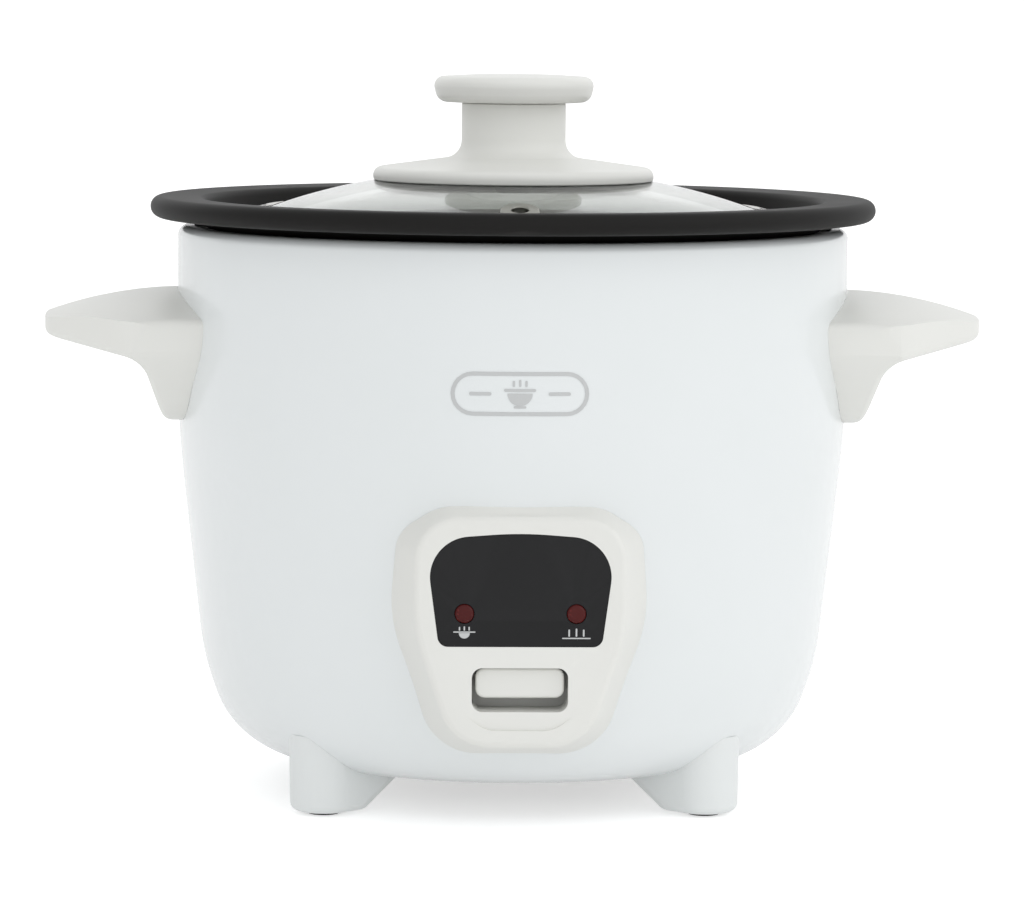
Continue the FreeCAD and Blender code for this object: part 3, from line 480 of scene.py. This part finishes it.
def lay_print(name, parts, width, under):
    """Joins flat marks into one print and lays it on the surface behind it."""
    bpy.ops.object.select_all(action="DESELECT")
    for part in parts:
        part.select_set(True)
    bpy.context.view_layer.objects.active = parts[0]
    bpy.ops.object.join()
    print_piece = bpy.context.object
    print_piece.name = name
    bpy.ops.object.mode_set(mode="EDIT")
    for k in range(int(width / PRINT_STEP) + 1):
        bpy.ops.mesh.select_all(action="SELECT")
        cut = (k * PRINT_STEP - width / 2) * MM
        bpy.ops.mesh.bisect(plane_co=(cut, 0, 0), plane_no=(1, 0, 0))
    bpy.ops.object.mode_set(mode="OBJECT")
    apply_modifier(print_piece, "SHRINKWRAP", target=under, wrap_method="PROJECT", use_project_y=True,
                   use_positive_direction=True, use_negative_direction=False)
    bpy.ops.object.mode_set(mode="EDIT")
    bpy.ops.mesh.select_all(action="SELECT")
    bpy.ops.transform.translate(value=(0, -PRINT_LIFT * MM, 0))
    bpy.ops.mesh.normals_make_consistent(inside=False)
    bpy.ops.object.mode_set(mode="OBJECT")
    apply_modifier(print_piece, "SOLIDIFY", thickness=PRINT_THICK * MM, offset=0.0)
    dress(print_piece, ink)
    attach(print_piece, "root")


ink = finish("light_grey_ink", (0.50, 0.51, 0.51), (0.55, 0.56, 0.56), (0.4, 0.5), 0.1, grain=0.0003,
             depth=0.00002)
x, z = BADGE_CENTRE
lay_print("badge", [
    printed_bar((x, z), BADGE_SIZE, BADGE_SIZE[1] / 2 - 0.01, BADGE_LINE),
    printed_bowl((x, z + 0.1), 2.6),
    printed_bar((x, z + 0.75), (6.6, 0.6), 0.29),
    printed_bar((x, z - 2.75), (2.6, 0.5), 0.24),
    printed_bar((x - 1.3, z + 2.1), (0.5, 1.3), 0.24),
    printed_bar((x, z + 2.2), (0.5, 1.5), 0.24),
    printed_bar((x + 1.3, z + 2.1), (0.5, 1.3), 0.24),
    printed_bar((x - 8.2, z), (4.6, 0.7), 0.34),
    printed_bar((x + 8.2, z), (4.6, 0.7), 0.34)], 2 * BADGE_SIZE[0], shell)
window = frame["nodes"]["window_panel"]
x, z = -SIGN_REACH, SIGN_HEIGHT
lay_print("cook_sign", [
    printed_bowl((x, z + 0.1), 1.15),
    printed_bar((x, z + 0.3), (4.6, SIGN_LINE), 0.12),
    printed_bar((x - 1.0, z + 1.0), (0.3, 0.8), 0.14),
    printed_bar((x, z + 1.05), (0.3, 0.9), 0.14),
    printed_bar((x + 1.0, z + 1.0), (0.3, 0.8), 0.14)], 2 * (SIGN_REACH + SIGN_WIDTH), window)
x = SIGN_REACH
lay_print("keep_warm_sign", [
    printed_bar((x, z - 0.95), (SIGN_WIDTH, SIGN_LINE), 0.12),
    printed_bar((x - 1.5, z + 0.15), (0.34, 1.5), 0.16),
    printed_bar((x, z + 0.25), (0.34, 1.7), 0.16),
    printed_bar((x + 1.5, z + 0.15), (0.34, 1.5), 0.16)], 2 * (SIGN_REACH + SIGN_WIDTH), window)


# ---- Cooking pot ------------------------------------------------------------------------------
# A spun aluminium pot with a wide flange and a rolled edge, coated inside and out in a dark
# satin non-stick.
POT_SHEET = 1.4
POT_OUTLINE = [(76.4, 126.5), (80.0, 126.5, 2.3), (80.0, 131.2, 2.25), (68.1, 130.8, 1.7), (67.4, 125.5, 0.9),
               (62.8, 125.5, 1.6), (61.8, 62.9, 9.0), (0.0, 62.9)]
pot = turned("pot_shell", rounded_outline(POT_OUTLINE), 160)
finish_mesh(pot)
apply_modifier(pot, "SOLIDIFY", thickness=POT_SHEET * MM, offset=1.0, use_even_offset=True)
bpy.ops.object.shade_smooth_by_angle(angle=math.radians(32))
nonstick = finish("nonstick_coat", (0.004, 0.0036, 0.0032), (0.008, 0.0074, 0.0068), (0.52, 0.64), 0.3,
                  grain=0.0005, depth=0.00004, rings=True, wear_and_shade=(0.016, 0.015, 0.014),
                  Specular_IOR_Level=0.22)
dress(pot, nonstick)
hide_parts("cooking_pot")
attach(pot, "pot")


# ---- Lid ----------------------------------------------------------------------------------------
# A tempered glass dome in a rolled stainless rim, with a steel eyelet round its steam vent.
DOME_TOP, DOME_RADIUS, GLASS_THICK, GLASS_EDGE, GLASS_BORE = 137.6, 166.8, 3.0, 57.0, 3.6
# Painted shade on the glass: its colour darkens from the first radius to the second, in metres, out towards
# the rim.
SHADE_START, SHADE_END = 0.040, 0.057


def dome_height(radius, ball):
    """The height over the table, at a radius from the knob's axis, of a ball round the dome's centre."""
    return DOME_TOP - DOME_RADIUS + math.sqrt(ball ** 2 - radius ** 2)


glass_rings = [GLASS_BORE + (GLASS_EDGE - GLASS_BORE) * k / 40 for k in range(41)]
outside = [(r, dome_height(r, DOME_RADIUS)) for r in glass_rings]
inside = [(r, dome_height(r, DOME_RADIUS - GLASS_THICK)) for r in reversed(glass_rings)]
pane = turned("glass_dome", outside + inside + outside[:1], 144)
finish_mesh(pane, 40)
clear_glass = finish("lid_glass", (0.75, 0.77, 0.75), (0.77, 0.79, 0.765), (0.0, 0.015), 0.0,
                     wear_and_shade=(0.36, 0.39, 0.365), IOR=1.5, Transmission_Weight=1.0)
# Painted shade: the finish's edge colour is mixed in by distance from the knob's axis instead of by the
# edges, so the glass turns dark grey towards its rim.
nodes, links = clear_glass.node_tree.nodes, clear_glass.node_tree.links
glass_shade_mix = nodes["Principled BSDF"].inputs["Base Color"].links[0].from_node
place = nodes.new("ShaderNodeTexCoord")
flat = nodes.new("ShaderNodeVectorMath")
flat.operation = "MULTIPLY"
flat.inputs[1].default_value = (1, 1, 0)
reach = nodes.new("ShaderNodeVectorMath")
reach.operation = "LENGTH"
shade_toward_edge = nodes.new("ShaderNodeMapRange")
shade_toward_edge.inputs["From Min"].default_value = SHADE_START
shade_toward_edge.inputs["From Max"].default_value = SHADE_END
links.new(place.outputs["Object"], flat.inputs[0])
links.new(flat.outputs["Vector"], reach.inputs[0])
links.new(reach.outputs["Value"], shade_toward_edge.inputs["Value"])
links.new(shade_toward_edge.outputs["Result"], glass_shade_mix.inputs["Factor"])
dress(pane, clear_glass)
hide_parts("lid_glass")
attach(pane, "lid")

steel = finish("stainless", (0.60, 0.585, 0.56), (0.68, 0.67, 0.65), (0.14, 0.26), 0.06, grain=0.0004,
               rings=True, Metallic=1.0)
dress(smoothed("lid_rim_band", "rim_band", 40), steel)
dull_steel = finish("eyelet_steel", (0.24, 0.24, 0.215), (0.32, 0.32, 0.29), (0.22, 0.34), 0.08, grain=0.0004,
                    Metallic=1.0)
dress(smoothed("steam_vent_eyelet", "vent_eyelet", 40), dull_steel)


# ---- Knob ---------------------------------------------------------------------------------------
# Two mouldings in the handles' plastic: a skirted base that stands on a silicone seal, and a
# cap. One screw from under the glass pulls them together.
KNOB_BASE = [(2.4, 139), (7.5, 139, 0.4), (28.6, 136.4, 1.0), (29.4, 134.8), (30.9, 134.8, 0.4),
             (31.2, 137.5, 1.9), (11.5, 140.2, 4.0), (11.5, 151.8, 0.3), (9.5, 151.8, 0.3), (9.5, 143.1, 0.6),
             (2.4, 143.1), (2.4, 139)]
KNOB_CAP = [(2.0, 150), (2.0, 143.2), (4.8, 143.2, 0.3), (4.8, 155.1, 0.8), (7.8, 155.1, 0.8),
            (7.8, 150.1, 0.3), (9.4, 150.1, 0.3), (9.4, 152), (16.8, 152, 2.5), (17.6, 155.3, 2.0),
            (17.6, 157.6, 2.1),
            (9.0, 158.1, 60), (0.0, 158.1)]
for name, outline, node in (("knob_skirt", KNOB_BASE, "knob_base"), ("knob_top", KNOB_CAP, "knob_cap")):
    piece = finish_mesh(turned(name, rounded_outline(outline), 128))
    dress(piece, warm_plastic)
    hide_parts(node)
    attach(piece, "lid")


# ---- Metal and electrical parts inside --------------------------------------------------------
# Plated sheet steel, cast aluminium, brass and ceramic, seen with the pot lifted out and
# through the slots underneath.
plated = finish("plated_steel", (0.50, 0.50, 0.49), (0.60, 0.60, 0.59), (0.28, 0.42), 0.1, grain=0.0008,
                wear_and_shade=(0.70, 0.70, 0.69), Metallic=1.0)
cast = finish("turned_aluminium", (0.58, 0.58, 0.59), (0.66, 0.66, 0.67), (0.3, 0.42), 0.4, grain=0.0006,
              rings=True, wear_and_shade=(0.74, 0.74, 0.75), Metallic=1.0)
sheath = finish("element_sheath", (0.20, 0.19, 0.18), (0.30, 0.29, 0.27), (0.5, 0.65), 0.3, Metallic=1.0)
ceramic = finish("white_ceramic", (0.70, 0.68, 0.63), (0.78, 0.76, 0.71), (0.5, 0.6), 0.2)
ferrite = finish("ferrite", (0.03, 0.03, 0.033), (0.05, 0.05, 0.054), (0.5, 0.6), 0.3)
black = finish("black_moulding", (0.015, 0.015, 0.016), (0.022, 0.022, 0.024), (0.35, 0.45), 0.15,
               grain=0.0005)
brass = finish("brass", (0.62, 0.44, 0.18), (0.72, 0.53, 0.24), (0.22, 0.34), 0.08, Metallic=1.0)
resin = finish("board_resin", (0.36, 0.25, 0.12), (0.42, 0.30, 0.15), (0.45, 0.55), 0.1)
lamp = finish("lamp_glass", (0.9, 0.75, 0.65), (0.95, 0.82, 0.72), (0.05, 0.1), 0.0, Transmission_Weight=0.8)
slot_finish = {"bare_steel": plated, "cast_aluminium": cast, "element_sheath": sheath, "insulator": ceramic,
               "ferrite": ferrite, "black_plastic": black, "dark_plastic": black, "brass_contact": brass,
               "board": resin, "lamp_glass": lamp}
round_parts = {"heating_plate", "sensor_cap", "inner_liner", "thermostat_cup", "base_cover",
               "heating_element", "inlet_housing", "knob_washer", "switch_lever", "terminal_block"}
springs = {"sensor_spring": ("root", "sensor", 39.6, 51.4), "release_spring": ("magnet", "root", 46.6, 60.4)}
for entry in frame["record"]["subparts"]:
    node, kind = entry["node"], entry["material_slot"]
    if node in springs:
        coil = smoothed(node, f"{node}_coil", rides=False)
        dress(coil, plated)
        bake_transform(coil)
    elif kind in slot_finish and node != "window_panel":
        piece = smoothed(node, f"{node}_piece") if node in round_parts else frame["nodes"][node]
        dress(piece, slot_finish[kind])
